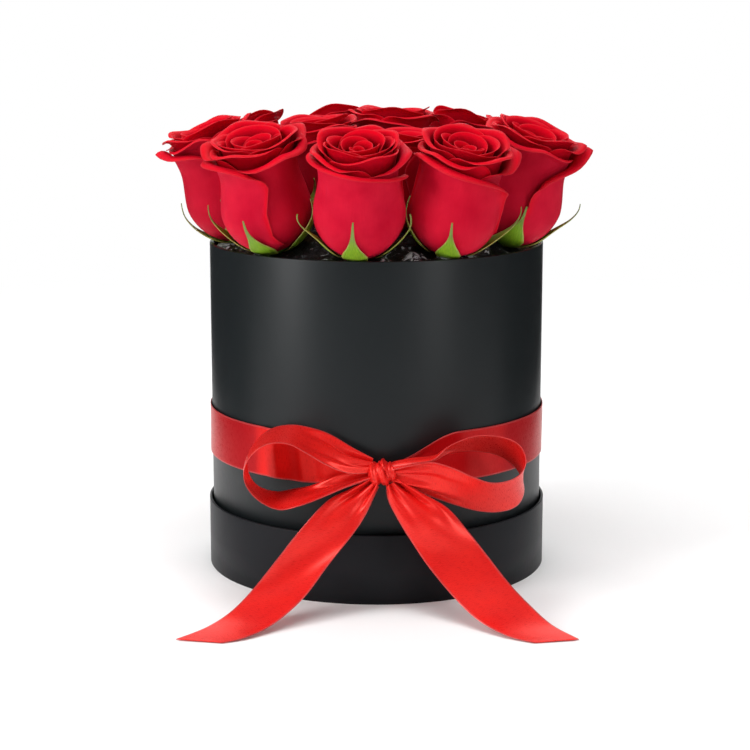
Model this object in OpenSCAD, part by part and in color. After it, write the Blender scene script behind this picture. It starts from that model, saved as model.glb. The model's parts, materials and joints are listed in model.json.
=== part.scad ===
// Flower box: a round board box standing in its own lid, tied round with a satin
// ribbon and a bow, holding a liner, floral foam, crumpled film and a dozen roses.
// The origin is the middle of the lid's flat outside face, which the box stands on.
// +Z is up and -Y is the front, where the bow is.

/* [Box] */
// Outside diameter of the round box
box_diameter = 180; // [170:2:190]
// Height of the box above the surface it stands on
box_top = 176.7; // [174:0.1:180]
// Thickness of the box's board
board = 1.5; // [1:0.1:2]
// Thickness of the black paper that covers the board
paper = 0.25; // [0.15:0.05:0.3]
// Depth of the paper turned down inside the box
box_turn_in = 20; // [10:1:30]

/* [Lid] */
// Outside diameter of the lid, which serves as a tray under the box
lid_diameter = 184.3; // [184:0.1:185]
// Height of the lid's side
lid_height = 36.5; // [25:0.5:45]
// Thickness of the lid's flat panel
lid_panel_thickness = 2; // [1.5:0.1:2.5]
// Thickness of the lid's side board
lid_board = 0.8; // [0.7:0.05:0.9]
// Depth of the paper turned down inside the lid
lid_turn_in = 12; // [8:1:20]

/* [Insert] */
// Outside radius of the plastic liner
liner_radius = 86.5; // [85:0.1:87]
// Thickness of the liner
liner_wall = 1.2; // [0.8:0.1:1.5]
// Height of the liner's rim above the surface under the lid
liner_top = 154; // [150:1:158]
// Height of the joint between the two foam blocks
foam_split = 80; // [60:1:100]
// Height of the top of the foam
foam_top = 150; // [145:1:152]
// Height of the top of the crumpled film
filler_top = 172; // [165:1:173]

/* [Roses] */
// Radius of a rose's stem
stem_radius = 2.4; // [2:0.1:3]
// Length of stem below the bloom
stem_length = 60; // [50:1:64]
// Length of a bloom from its base to its top
bloom_length = 58; // [54:1:60]
// Radius of the stem holes in the foam
foam_hole_radius = 2.55; // [2.5:0.05:3.2]
// Radius of the stem gaps in the crumpled film
film_hole_radius = 3.4; // [3:0.1:4]

/* [Ribbon] */
// Width of the satin ribbon
ribbon_width = 26; // [24:0.5:28]
// Thickness of the ribbon
ribbon_thickness = 0.5; // [0.4:0.05:0.8]
// Height of the ribbon band's lower edge
band_bottom = 62.6; // [55:0.1:70]

/* [Hidden] */
$fn = 96;
black = [0.16, 0.17, 0.18];
red = [0.80, 0.03, 0.08];
ribbon_red = [0.90, 0.08, 0.07];
leaf_green = [0.42, 0.60, 0.14];

box_radius = box_diameter / 2;
lid_radius = lid_diameter / 2;
box_bottom = lid_panel_thickness;
wall_outer = box_radius - paper - 0.05;
wall_inner = wall_outer - board;
turn_in_radius = wall_inner - paper - 0.05;
floor_thickness = 1.8;
liner_bottom = box_bottom + floor_thickness;
foam_radius = liner_radius - liner_wall - 0.3;
foam_bottom = liner_bottom + liner_wall;

// Each rose: azimuth, distance from the axis and height of its base, then its lean, the
// direction that it leans towards, and its girth
ROSES = [
    [-137, 71, 178, 18, -122, 1.02],
    [-97, 71, 178, 20, -90, 0.99],
    [-60, 71, 178, 20, -62, 0.99],
    [-19, 71, 178, 18, -32, 1.02],
    [19, 71, 180, 19, 18, 1],
    [57, 71.5, 184, 19, 48, 1],
    [104, 71, 185, 17, 112, 1],
    [144, 72, 183, 20, 154, 1],
    [184, 71, 178, 19, 190, 1],
    [74, 28, 189, 4, 60, 1],
    [182, 29, 186, 5, 190, 0.98],
    [-56, 25, 179, 3, -60, 0.98]];
function rose_name(i, piece) = str("rose_", i < 9 ? "0" : "", i + 1, "_", piece);

// Half outline of a bloom: [radius, height] from its base up to the open lips
BLOOM = [[5.6, 1], [9.4, 2.2], [13.4, 4.6], [17.4, 8.2], [20.6, 12.8], [22.6, 18], [23.2, 24],
         [22.9, 32], [22.5, 40], [22.9, 47], [24, 52], [23.6, 55.5], [20, 57.6], [12, bloom_length]];
// Outline of the underside of a bloom, which the sepals hug
UNDERSIDE = [for (p = BLOOM) if (p[1] < 20) p];
// Half outline of a stem with its swollen hip under the bloom
STEM = [[0, -stem_length], [stem_radius, -stem_length], [stem_radius, -8], [3.4, -6.2],
        [4.7, -4.2], [5.4, -1.8], [5.5, 1], [0, 1]];

// The bow's ribbon strips. Each list is one edge of a strip, from the knot outwards.
LOOP_LEFT_FRONT = [[-2, -101, 73], [-14, -106, 74], [-25, -109, 78.5], [-35, -109.5, 84],
    [-44, -107.5, 88], [-54, -106, 87.5], [-62, -105, 82], [-66, -105, 74], [-65, -105, 66],
    [-59, -105, 58.5], [-49, -106, 54], [-38, -108, 56.5], [-27, -107, 60], [-15, -104, 64],
    [-2, -101, 68]];
LOOP_LEFT_BACK = [[-2, -96, 77], [-12, -93.5, 82], [-24, -90.5, 89], [-34, -87.5, 92],
    [-43, -83.5, 92.5], [-53, -80.5, 90], [-62, -79, 82.5], [-66, -79, 73], [-65, -79, 65],
    [-60, -79, 59], [-51, -81, 57], [-42, -85, 59.5], [-31, -89.5, 63], [-18, -93.5, 67.5],
    [-2, -96, 71]];
LOOP_RIGHT_FRONT = [[8, -101, 76], [18, -105, 78.5], [28, -107, 80.5], [36, -107, 87],
    [47, -105, 91], [56, -103.5, 91.5], [65, -103.5, 90], [71.5, -104.5, 86.5],
    [74.5, -106.5, 79.5], [72, -108.5, 73.5], [66, -110, 70], [57, -110.5, 69], [48, -110.5, 72],
    [38, -110, 76.5], [28, -108, 79], [18, -105, 77], [8, -102, 74]];
LOOP_RIGHT_BACK = [[8, -95.5, 73], [18, -93.5, 75], [29, -91, 76.5], [37, -87, 78], [46, -84, 79],
    [54, -81.5, 78], [62, -81, 76], [69.5, -82.5, 71.5], [74, -85, 65], [75, -88, 58],
    [71, -91.5, 52], [62, -93.5, 49.5], [51, -95, 50.5], [40, -97, 54], [29, -98, 58],
    [18, -98, 62.5], [8, -97, 67]];
TAIL_LEFT_INNER = [[1, -101, 65], [-2, -103, 58], [-6, -105, 50], [-12, -108, 41.5],
    [-24, -113.5, 27.5], [-36, -123, 13.5], [-50, -136, 4.5], [-63, -148, 1.6], [-74, -153.5, 0.6]];
TAIL_LEFT_OUTER = [[-3, -99, 68], [-14, -101, 63], [-25, -103, 57.5], [-38, -107, 44],
    [-52, -112, 27], [-62, -118, 15.8], [-72, -127, 7.5], [-83, -138, 3.2], [-97, -149, 0.8]];
TAIL_RIGHT_INNER = [[5, -101, 65], [6, -103, 58], [11, -106, 48.5], [18, -109, 37.5],
    [26.5, -114, 26], [39, -123, 13], [50, -134, 5.5], [63, -146, 1.8], [76, -153.5, 0.6]];
TAIL_RIGHT_OUTER = [[11, -99.5, 68], [24, -102, 61], [36, -104, 54], [46, -107, 43],
    [56, -111, 31], [66, -116, 19], [75.5, -124, 10.5], [86, -137, 4], [98, -149, 0.8]];

// Catmull-Rom curve through the points of p, at the place u from 0 to len(p) - 1
function clamped(p, i) = p[max(0, min(len(p) - 1, i))];
function blend_points(a, b, c, d, t) =
    0.5 * (2 * b + (c - a) * t + (2 * a - 5 * b + 4 * c - d) * t * t
           + (3 * b - a - 3 * c + d) * t * t * t);
function on_curve(p, u) =
    let (i = min(floor(u), len(p) - 2))
    blend_points(clamped(p, i - 1), p[i], p[i + 1], clamped(p, i + 2), u - i);
function unit(v) = v / norm(v);

// The outline p, moved outwards by d
function moved_out(p, d) = [
    for (i = [0:len(p) - 1])
        let (t = unit(clamped(p, i + 1) - clamped(p, i - 1)))
        p[i] + d * [t[1], -t[0]]];

// A ring of board or paper turned about +Z
module ring(outer, inner, bottom, top) {
    rotate_extrude($fn = 180)
        translate([inner, bottom])
            square([outer - inner, top - bottom]);
}

// Paper skin on the outside of a wall, folded over its top edge and down inside
module folded_skin(outer, inner, bottom, top, flap) {
    ring(outer, outer - paper, bottom, top);
    ring(outer, inner, top - paper, top);
    ring(inner + paper, inner, top - flap, top);
}

// A flat strip whose two long edges are the curves first and second
module ribbon_strip(first, second, steps) {
    last = (len(first) - 1) * steps;
    edge_a = [for (k = [0:last]) on_curve(first, k / steps)];
    edge_b = [for (k = [0:last]) on_curve(second, k / steps)];
    normals = [for (k = [0:last])
        let (along = clamped(edge_a, k + 1) - clamped(edge_a, k - 1)
                     + clamped(edge_b, k + 1) - clamped(edge_b, k - 1))
        unit(cross(along, edge_b[k] - edge_a[k])) * ribbon_thickness / 2];
    points = [for (k = [0:last]) each [edge_a[k] - normals[k], edge_b[k] - normals[k],
                                       edge_b[k] + normals[k], edge_a[k] + normals[k]]];
    sides = [for (k = [0:last - 1]) for (j = [0:3])
        let (a = 4 * k + j, b = 4 * k + (j + 1) % 4)
        each [[a, a + 4, b], [b, a + 4, b + 4]]];
    end = 4 * last;
    polyhedron(points, concat(sides, [[0, 1, 2], [0, 2, 3]],
                              [[end, end + 2, end + 1], [end, end + 3, end + 2]]));
}

// Moves its children to the base of rose i, with +Z along the stem and +X the way it leans
module at_rose(i) {
    rose = ROSES[i];
    translate([rose[1] * cos(rose[0]), rose[1] * sin(rose[0]), rose[2]])
        rotate([0, 0, rose[4]])
            rotate([0, rose[3], 0])
                children();
}

// One straight hole of the given radius along every stem
module stem_holes(radius) {
    for (i = [0:len(ROSES) - 1])
        at_rose(i)
            translate([0, 0, -stem_length - 1])
                cylinder(r = radius, h = stem_length, $fn = 24);
}

module lid_panel() {
    color(black)
        cylinder(r = lid_radius - paper - 0.05, h = lid_panel_thickness, $fn = 180);
}

module lid_rim() {
    rim_outer = lid_radius - paper - 0.05;
    color(black)
        ring(rim_outer, rim_outer - lid_board, lid_panel_thickness, lid_height - paper);
}

module lid_wrap() {
    rim_inner = lid_radius - paper - 0.1 - lid_board;
    color(black)
        folded_skin(lid_radius, rim_inner - paper, 0, lid_height, lid_turn_in);
}

module box_wall() {
    color(black)
        ring(wall_outer, wall_inner, box_bottom, box_top - paper);
}

module box_floor() {
    color(black)
        translate([0, 0, box_bottom])
            cylinder(r = wall_inner - 0.05, h = floor_thickness, $fn = 180);
}

module box_wrap() {
    color(black)
        folded_skin(box_radius, turn_in_radius, box_bottom, box_top, box_turn_in);
}

// Band round the box, narrowed at the front where the bow pulls it together
module ribbon_band() {
    gap = 0.05;
    band_top = band_bottom + ribbon_width;
    color(ribbon_red)
        difference() {
            ring(box_radius + gap + ribbon_thickness, box_radius + gap, band_bottom, band_top);
            translate([0, -70, 0])
                rotate([90, 0, 0])
                    linear_extrude(30) {
                        polygon([[-46, band_top + 1], [-46, band_top], [-28, 84.5], [-8, 77.5],
                                 [13, 77.5], [28, 83.5], [37, 86], [48, band_top], [48, band_top + 1]]);
                        polygon([[-34, band_bottom - 1], [-34, band_bottom], [-8, 65.5],
                                 [13, 65.5], [36, band_bottom], [36, band_bottom - 1]]);
                    }
        }
}

// Knot: a barrel of ribbon wound tightly round the strands
module bow_knot() {
    knot_length = 12;
    outline = [[0, 0], [4.4, 0], [5.6, 1.5], [6.3, 3.5], [6.6, 6], [6.3, 8.5], [5.6, 10.5],
               [4.4, knot_length], [0, knot_length]];
    color(ribbon_red)
        translate([2.8 - knot_length / 2, -97.6, 71])
            rotate([0, 90, 0])
                rotate_extrude($fn = 48)
                    polygon(outline);
}

module bow_loop_left() {
    color(ribbon_red)
        ribbon_strip(LOOP_LEFT_FRONT, LOOP_LEFT_BACK, 3);
}

module bow_loop_right() {
    color(ribbon_red)
        ribbon_strip(LOOP_RIGHT_FRONT, LOOP_RIGHT_BACK, 3);
}

module bow_tail_left() {
    color(ribbon_red)
        ribbon_strip(TAIL_LEFT_INNER, TAIL_LEFT_OUTER, 3);
}

module bow_tail_right() {
    color(ribbon_red)
        ribbon_strip(TAIL_RIGHT_INNER, TAIL_RIGHT_OUTER, 3);
}

// Waterproof plastic cup round the wet foam
module liner() {
    color([0.85, 0.86, 0.86])
        difference() {
            translate([0, 0, liner_bottom])
                cylinder(r = liner_radius, h = liner_top - liner_bottom, $fn = 180);
            translate([0, 0, foam_bottom])
                cylinder(r = liner_radius - liner_wall, h = liner_top, $fn = 180);
        }
}

module foam_lower() {
    color([0.20, 0.36, 0.22])
        translate([0, 0, foam_bottom])
            cylinder(r = foam_radius, h = foam_split - foam_bottom, $fn = 120);
}

module foam_upper() {
    color([0.20, 0.36, 0.22])
        difference() {
            translate([0, 0, foam_split])
                cylinder(r = foam_radius, h = foam_top - foam_split, $fn = 120);
            stem_holes(foam_hole_radius);
        }
}

// Crumpled black film that hides the foam, packed round the stems
module film_filler() {
    step_height = liner_top + 0.5;
    color([0.05, 0.05, 0.05])
        difference() {
            union() {
                translate([0, 0, foam_top])
                    cylinder(r = foam_radius, h = filler_top - foam_top, $fn = 120);
                translate([0, 0, step_height])
                    cylinder(r = turn_in_radius - 0.7, h = filler_top - step_height, $fn = 120);
            }
            stem_holes(film_hole_radius);
            for (i = [0:len(ROSES) - 1])
                at_rose(i)
                    translate([0, 0, -10])
                        cylinder(r = 6.5, h = 20, $fn = 32);
        }
}

// Stem cut off aslant at its foot, with the hip that the bloom grows from
module rose_stem(i) {
    color(leaf_green)
        at_rose(i)
            difference() {
                rotate_extrude($fn = 32)
                    polygon(STEM);
                translate([0, 0, -stem_length])
                    rotate([0, 35, 0])
                        translate([-10, -10, -10])
                            cube([20, 20, 10]);
            }
}

// Five pointed sepals hugging the underside of the bloom, one of them facing outwards
module rose_sepals(i) {
    star = [for (k = [0:4]) each [
        12 * [cos(72 * k - 20), sin(72 * k - 20)],
        23.5 * [cos(72 * k), sin(72 * k)],
        12 * [cos(72 * k + 20), sin(72 * k + 20)],
        7.5 * [cos(72 * k + 36), sin(72 * k + 36)]]];
    inner = moved_out(UNDERSIDE, 0.4);
    outer = moved_out(UNDERSIDE, 1.2);
    color(leaf_green)
        at_rose(i)
            scale(ROSES[i][5])
                intersection() {
                    rotate_extrude($fn = 64)
                        polygon(concat(inner, [for (k = [len(outer) - 1:-1:0]) outer[k]]));
                    translate([0, 0, -5])
                        linear_extrude(40)
                            polygon(star);
                }
}

module rose_bloom(i) {
    color(red)
        at_rose(i)
            scale(ROSES[i][5])
                translate([0, 0, 0.2])
                    rotate_extrude($fn = 64)
                        polygon(concat([[0, 1]], BLOOM, [[0, bloom_length - 0.6]]));
}

lid_panel();
lid_rim();
lid_wrap();
box_wall();
box_floor();
box_wrap();
ribbon_band();
bow_knot();
bow_loop_left();
bow_loop_right();
bow_tail_left();
bow_tail_right();
liner();
foam_lower();
foam_upper();
film_filler();
for (i = [0:len(ROSES) - 1]) {
    rose_stem(i);
    rose_sepals(i);
    rose_bloom(i);
}
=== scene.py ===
"""The looks of the flower box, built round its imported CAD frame.

Everything is in the CAD frame: +Z up, -Y to the front, metres. Lengths that a person would give in
millimetres are written as a number times MM. The shapes of soft pieces are worked out in millimetres
with numpy and turned into metres when their mesh is made.
"""
import json
import math

import bpy
import numpy as np
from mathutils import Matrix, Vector


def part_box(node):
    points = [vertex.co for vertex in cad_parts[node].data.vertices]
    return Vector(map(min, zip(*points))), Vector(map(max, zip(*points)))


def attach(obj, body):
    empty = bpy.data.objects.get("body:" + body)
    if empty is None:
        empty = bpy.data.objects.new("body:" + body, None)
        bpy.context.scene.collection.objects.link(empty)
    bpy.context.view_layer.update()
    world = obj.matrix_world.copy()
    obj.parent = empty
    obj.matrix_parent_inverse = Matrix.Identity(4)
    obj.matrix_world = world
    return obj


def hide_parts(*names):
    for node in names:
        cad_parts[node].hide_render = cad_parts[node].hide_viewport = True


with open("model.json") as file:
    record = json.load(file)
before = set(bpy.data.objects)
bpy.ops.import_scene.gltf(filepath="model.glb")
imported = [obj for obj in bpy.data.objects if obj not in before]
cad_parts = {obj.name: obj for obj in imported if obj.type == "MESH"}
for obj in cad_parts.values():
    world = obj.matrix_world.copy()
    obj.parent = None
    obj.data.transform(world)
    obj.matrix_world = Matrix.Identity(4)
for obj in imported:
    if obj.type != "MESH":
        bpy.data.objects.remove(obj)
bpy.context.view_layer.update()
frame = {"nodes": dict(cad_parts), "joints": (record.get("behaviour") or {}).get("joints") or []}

MM = 0.001
TURN = 2 * math.pi
SEED = 7

# The ribbon, in millimetres
RIBBON_WIDTH = 26.0
RIBBON_THICKNESS = 0.32
SELVEDGE = 0.85

# How thick the skins of the other soft pieces are, in millimetres
PAPER_THICKNESS = 0.25
PETAL_THICKNESS = 0.24
SEPAL_THICKNESS = 0.45
FILM_THICKNESS = 0.1


# ---------------------------------------------------------------- small tools

def smooth(x):
    """0 below 0, 1 above 1, and an even S curve between."""
    t = np.clip(x, 0, 1)
    return t * t * (3 - 2 * t)


def bump(x, middle, width):
    """A bell of height 1 round middle."""
    return np.exp(-((x - middle) / width) ** 2)


def curve_through(points, count):
    """Catmull-Rom curve through the points, as count places evenly spaced in its parameter."""
    p = np.array(points, float)
    u = np.linspace(0, len(p) - 1, count)
    i = np.minimum(u.astype(int), len(p) - 2)
    t = (u - i)[:, None]
    a, b = p[np.maximum(i - 1, 0)], p[i]
    c, d = p[i + 1], p[np.minimum(i + 2, len(p) - 1)]
    return 0.5 * (2 * b + (c - a) * t + (2 * a - 5 * b + 4 * c - d) * t ** 2
                  + (3 * b - a - 3 * c + d) * t ** 3)


def unit(v):
    """The vectors v, made one long."""
    return v / np.maximum(np.linalg.norm(v, axis=-1, keepdims=True), 1e-9)


class Mesh:
    """Collects grids of points into one mesh, with a UV map and a colour attribute for its material."""

    def __init__(self):
        self.points, self.uvs, self.tones, self.faces, self.count = [], [], [], [], 0

    def grid(self, points, uv=None, tone=None, around=False, along=False):
        """Adds a sheet of rows x columns points. around joins its last column to its first, and
        along its last row to its first."""
        rows, columns = points.shape[:2]
        ids = self.count + np.arange(rows * columns).reshape(rows, columns)
        if around:
            ids = np.concatenate([ids, ids[:, :1]], 1)
        if along:
            ids = np.concatenate([ids, ids[:1]], 0)
        quads = np.stack([ids[:-1, :-1], ids[:-1, 1:], ids[1:, 1:], ids[1:, :-1]], -1)
        self.faces.append(quads.reshape(-1, 4))
        self.points.append(points.reshape(-1, 3))
        if uv is None:
            v, u = np.mgrid[0:1:rows * 1j, 0:1:columns * 1j]
            uv = np.stack([u, v], -1)
        self.uvs.append(uv.reshape(-1, 2))
        tone = np.zeros((rows, columns, 3)) if tone is None else tone
        self.tones.append(tone.reshape(-1, 3))
        self.count += rows * columns

    def made(self, name, material, thickness=0.0, place=None):
        """The object. place is a function that takes points in millimetres to the frame's."""
        points = np.concatenate(self.points)
        if place is not None:
            points = place(points)
        faces = np.concatenate(self.faces)
        mesh = bpy.data.meshes.new(name)
        mesh.from_pydata(points * MM, [], faces.tolist())
        corner = faces.ravel()
        layer = mesh.uv_layers.new(name="flat")
        layer.data.foreach_set("uv", np.concatenate(self.uvs)[corner].ravel())
        tone = mesh.attributes.new("tone", "FLOAT_COLOR", "POINT")
        rgb = np.concatenate(self.tones)
        tone.data.foreach_set("color", np.concatenate([rgb, np.ones((len(rgb), 1))], 1).ravel())
        mesh.polygons.foreach_set("use_smooth", [True] * len(mesh.polygons))
        mesh.materials.append(material)
        piece = bpy.data.objects.new(name, mesh)
        bpy.context.scene.collection.objects.link(piece)
        if thickness:
            solid = piece.modifiers.new("thickness", "SOLIDIFY")
            solid.thickness, solid.offset = thickness * MM, 0
        return piece


# ---------------------------------------------------------------- materials

class Look:
    """A node material: its Principled shader, and short calls for the nodes that feed it."""

    def __init__(self, name, **constants):
        self.material = bpy.data.materials.new(name)
        self.material.use_nodes = True
        self.tree = self.material.node_tree
        self.shader = self.tree.nodes["Principled BSDF"]
        for socket, value in constants.items():
            self.shader.inputs[socket.replace("_", " ")].default_value = value

    def node(self, kind, inputs=None, **settings):
        """A node with settings on itself and inputs that are values or other nodes' outputs."""
        made = self.tree.nodes.new("ShaderNode" + kind)
        for key, value in settings.items():
            setattr(made, key, value)
        for socket, value in (inputs or {}).items():
            if isinstance(value, bpy.types.NodeSocket):
                self.tree.links.new(value, made.inputs[socket])
            else:
                made.inputs[socket].default_value = value
        return made

    def feed(self, socket, output):
        """Links a node's output to the shader."""
        self.tree.links.new(output, self.shader.inputs[socket])

    def noise(self, vector, scale, detail, roughness=0.5, distortion=0.0):
        """Noise from 0 to 1 over the given coordinates."""
        return self.node("TexNoise", {"Vector": vector, "Scale": scale, "Detail": detail,
                                      "Roughness": roughness, "Distortion": distortion}
                         ).outputs["Fac"]

    def stretched(self, vector, scale):
        """The coordinates, scaled differently along each axis."""
        return self.node("Mapping", {"Vector": vector, "Scale": scale}).outputs["Vector"]

    def position(self):
        """The place on the object, in metres."""
        return self.node("TexCoord").outputs["Object"]

    def flat(self):
        """The place on the piece as it was before it was bent."""
        return self.node("UVMap", uv_map="flat").outputs["UV"]

    def tone(self):
        """The three values of the colour attribute."""
        attribute = self.node("Attribute", attribute_name="tone")
        return self.node("SeparateColor", {"Color": attribute.outputs["Color"]}).outputs

    def math(self, operation, *values):
        """One arithmetic step."""
        return self.node("Math", dict(enumerate(values)), operation=operation).outputs[0]

    def ramp(self, fac, *stops):
        """Colours at places from 0 to 1."""
        made = self.node("ValToRGB", {"Fac": fac})
        elements = made.color_ramp.elements
        while len(elements) < len(stops):
            elements.new(0.5)
        for element, (place, colour) in zip(elements, stops):
            element.position = place
            element.color = (*colour, 1)
        return made.outputs["Color"]

    def mix(self, fac, a, b):
        """Colour a turning into b. A Mix node has sockets for its factor, its two colours and the
        result at these places when it mixes colours."""
        factor, first, second, result = 0, 6, 7, 2
        made = self.node("Mix", data_type="RGBA")
        for place, value in ((factor, fac), (first, a), (second, b)):
            if isinstance(value, bpy.types.NodeSocket):
                self.tree.links.new(value, made.inputs[place])
            else:
                made.inputs[place].default_value = value if place == factor else (*value, 1)
        return made.outputs[result]

    def relief(self, height, strength, depth):
        """Bump from a height from 0 to 1, which stands for depth metres."""
        raised = self.node("Bump", {"Height": height, "Strength": strength, "Distance": depth})
        self.feed("Normal", raised.outputs["Normal"])


def paper_look(name, base, gloss):
    """Black paper of colour base with a satin laminate over a fine fibre grain."""
    look = Look(name, Specular_IOR_Level=gloss)
    place = look.position()
    fibres = look.noise(look.stretched(place, (900, 900, 260)), 1.0, 4, 0.6)
    clouds = look.noise(place, 22, 3)
    dark = tuple(0.82 * c for c in base)
    look.feed("Base Color", look.mix(clouds, dark, base))
    look.feed("Roughness", look.math("MULTIPLY_ADD", fibres, 0.10, 0.33))
    look.relief(look.math("MULTIPLY_ADD", clouds, 0.6, fibres), 0.25, 0.06 * MM)
    return look.material


def board_look():
    """Grey-black core of the board, with its short fibres."""
    look = Look("board_core", Roughness=0.85)
    place = look.position()
    fibres = look.noise(look.stretched(place, (600, 600, 2400)), 1.0, 5, 0.7)
    look.feed("Base Color", look.ramp(fibres, (0.3, (0.030, 0.030, 0.032)),
                                      (0.7, (0.065, 0.064, 0.062))))
    look.relief(fibres, 0.4, 0.15 * MM)
    return look.material


def satin_look(name, bright, deep, gloss, through):
    """Red satin ribbon: smooth floats across a fine rib, and a woven edge on both sides. Its colour
    wanders between bright and deep, and through is how much light it lets in. The flat coordinates
    are millimetres across the ribbon from its middle and along it, and tone red is a painted
    highlight that lightens the ribbon towards a bright red where the knot draws it in."""
    look = Look(name, Metallic=0.22, Specular_IOR_Level=gloss, Specular_Tint=(1, 0.42, 0.34, 1),
                Sheen_Weight=0.08, Sheen_Roughness=0.4, Sheen_Tint=(1, 0.12, 0.08, 1),
                Subsurface_Weight=through, Subsurface_Radius=(1.0, 0.10, 0.08),
                Subsurface_Scale=1.0 * MM)
    flat = look.flat()
    across = look.node("SeparateXYZ", {"Vector": flat}).outputs
    ribs = look.node("TexWave", {"Vector": flat, "Scale": 1.1, "Distortion": 0.4,
                                 "Detail": 1.0, "Detail Scale": 3.0},
                     wave_type="BANDS", bands_direction="Y").outputs["Fac"]
    floats = look.noise(look.stretched(flat, (0.35, 6.0, 1.0)), 1.0, 2)
    clouds = look.noise(flat, 0.06, 2)
    selvedge_start = RIBBON_WIDTH / 2 - SELVEDGE
    selvedge = look.math("GREATER_THAN", look.math("ABSOLUTE", across["X"]), selvedge_start)
    cloth = look.mix(clouds, deep, bright)
    cloth = look.mix(look.math("MULTIPLY", ribs, 0.07), cloth, tuple(0.55 * c for c in bright))
    # Painted highlight: tone red lightens the cloth towards a bright red
    cloth = look.mix(look.tone()["Red"], cloth, (0.84, 0.016, 0.012))
    look.feed("Base Color", look.mix(look.math("MULTIPLY", selvedge, 0.55), cloth,
                                     (0.46, 0.070, 0.072)))
    look.feed("Roughness", look.math("MULTIPLY_ADD", floats, 0.14, 0.22))
    height = look.math("ADD", look.math("MULTIPLY", ribs, 0.5),
                       look.math("ADD", floats, look.math("MULTIPLY", selvedge, 1.5)))
    look.relief(height, 0.15, 0.05 * MM)
    return look.material


def petal_look():
    """Velvety red petal. Tone red is painted shade, which darkens the places that lie deep in the
    bloom; green is how near the rim is, which deepens the lip's red and paints a pale highlight
    along the very edge; and blue is how far the petal has the pure red of the inner ones. The flat
    coordinates are millimetres on the petal."""
    look = Look("rose_petal", Roughness=0.5, Specular_IOR_Level=0.04,
                Specular_Tint=(1, 0.30, 0.34, 1), Sheen_Weight=0.06, Sheen_Roughness=0.4,
                Sheen_Tint=(1, 0.06, 0.12, 1), Subsurface_Weight=0.08,
                Subsurface_Radius=(1.0, 0.10, 0.08), Subsurface_Scale=1.2 * MM)
    flat = look.flat()
    tone = look.tone()
    deep, rim, pure = tone["Red"], tone["Green"], tone["Blue"]
    veins = look.noise(look.stretched(flat, (1.4, 0.12, 1.0)), 1.0, 4, 0.65, 0.8)
    cells = look.noise(look.stretched(flat, (2.6, 1.4, 1.0)), 1.0, 2)
    clouds = look.noise(flat, 0.07, 3)
    body = look.ramp(clouds, (0.25, (0.48, 0.0050, 0.026)), (0.75, (0.68, 0.016, 0.046)))
    body = look.mix(pure, body, (0.62, 0.0008, 0.0100))
    body = look.mix(look.math("MULTIPLY", veins, 0.34), body, (0.34, 0.001, 0.014))
    body = look.mix(look.math("MULTIPLY", rim, 0.85), body, (0.60, 0.0010, 0.010))
    # Painted shade: tone red darkens the body deep in the bloom
    body = look.mix(deep, body, (0.19, 0.0004, 0.004))
    # Painted highlight: a pale line along the very edge of the rim
    edge = look.math("POWER", rim, 20.0)
    look.feed("Base Color", look.mix(look.math("MULTIPLY", edge, 0.28), body,
                                     (0.66, 0.075, 0.095)))
    look.feed("Roughness", look.math("MULTIPLY_ADD", cells, 0.15, 0.43))
    look.relief(look.math("MULTIPLY_ADD", veins, 1.8, cells), 0.35, 0.18 * MM)
    return look.material


def sepal_look():
    """Lime green blade with fine veins and pink-tan edges. Tone red is 1 at its foot, green at its
    edges, and blue along its thread-like tip, which is a duller green."""
    look = Look("sepal", Roughness=0.48, Specular_IOR_Level=0.4, Subsurface_Weight=0.10,
                Subsurface_Radius=(0.4, 1.0, 0.15), Subsurface_Scale=1.0 * MM)
    flat = look.flat()
    tone = look.tone()
    veins = look.noise(look.stretched(flat, (2.4, 0.25, 1.0)), 1.0, 3)
    green = look.ramp(veins, (0.30, (0.120, 0.270, 0.008)), (0.72, (0.260, 0.440, 0.016)))
    green = look.mix(look.math("MULTIPLY", tone["Red"], 0.6), green, (0.40, 0.52, 0.06))
    edge = look.math("POWER", tone["Green"], 2.0)
    green = look.mix(look.math("MULTIPLY", edge, 0.60), green, (0.46, 0.32, 0.12))
    look.feed("Base Color", look.mix(look.math("MULTIPLY", tone["Blue"], 0.85), green,
                                     (0.150, 0.220, 0.045)))
    look.relief(veins, 0.35, 0.2 * MM)
    return look.material


def stem_look():
    """Smooth green stem with faint stripes."""
    look = Look("stem", Roughness=0.42, Specular_IOR_Level=0.45)
    place = look.position()
    stripes = look.noise(look.stretched(place, (900, 900, 60)), 1.0, 3)
    look.feed("Base Color", look.ramp(stripes, (0.3, (0.075, 0.155, 0.022)),
                                      (0.7, (0.150, 0.260, 0.045))))
    look.relief(stripes, 0.3, 0.2 * MM)
    return look.material


def foam_look():
    """Wet floral foam: dark green, with fine open cells."""
    look = Look("wet_foam", Roughness=0.8)
    place = look.position()
    cells = look.node("TexVoronoi", {"Vector": place, "Scale": 900.0}).outputs["Distance"]
    patches = look.noise(place, 60, 4)
    look.feed("Base Color", look.ramp(patches, (0.3, (0.016, 0.055, 0.024)),
                                      (0.75, (0.036, 0.105, 0.046))))
    look.relief(cells, 0.6, 0.5 * MM)
    return look.material


def liner_look():
    """Clear, slightly milky plastic with shallow draw marks."""
    look = Look("clear_plastic", Roughness=0.08, Transmission_Weight=0.96, IOR=1.46)
    place = look.position()
    marks = look.noise(look.stretched(place, (40, 40, 500)), 1.0, 3)
    look.feed("Base Color", look.ramp(marks, (0.2, (0.80, 0.83, 0.83)), (0.8, (0.92, 0.94, 0.94))))
    look.relief(marks, 0.15, 0.1 * MM)
    return look.material


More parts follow.
